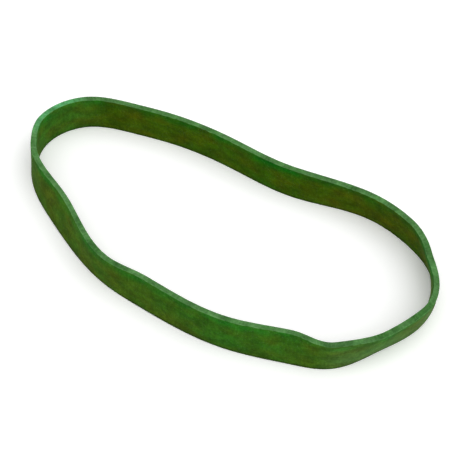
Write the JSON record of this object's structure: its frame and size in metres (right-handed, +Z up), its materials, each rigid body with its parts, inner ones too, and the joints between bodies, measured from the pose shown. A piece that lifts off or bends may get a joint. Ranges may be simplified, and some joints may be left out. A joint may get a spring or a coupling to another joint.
{
  "type": "rubber band",
  "caption": "Flat rubber band in a loose uneven loop, standing on one cut rim; it stretches round papers, stalks or lids to hold them together.",
  "frame": {"origin": "on the floor under the middle of the loop's box", "axes": "+X along the loop's longer side, towards its wide end; +Z up, across the strip's width, from the rim it stands on to the upper rim"},
  "size_m": [0.0744, 0.0358, 0.0064],
  "materials": {
    "green_rubber": "dry satin, faintly mottled, with paler cut rims"
  },
  "bodies": {
    "root": {"rubber_band": "green_rubber"}
  },
  "joints": []
}
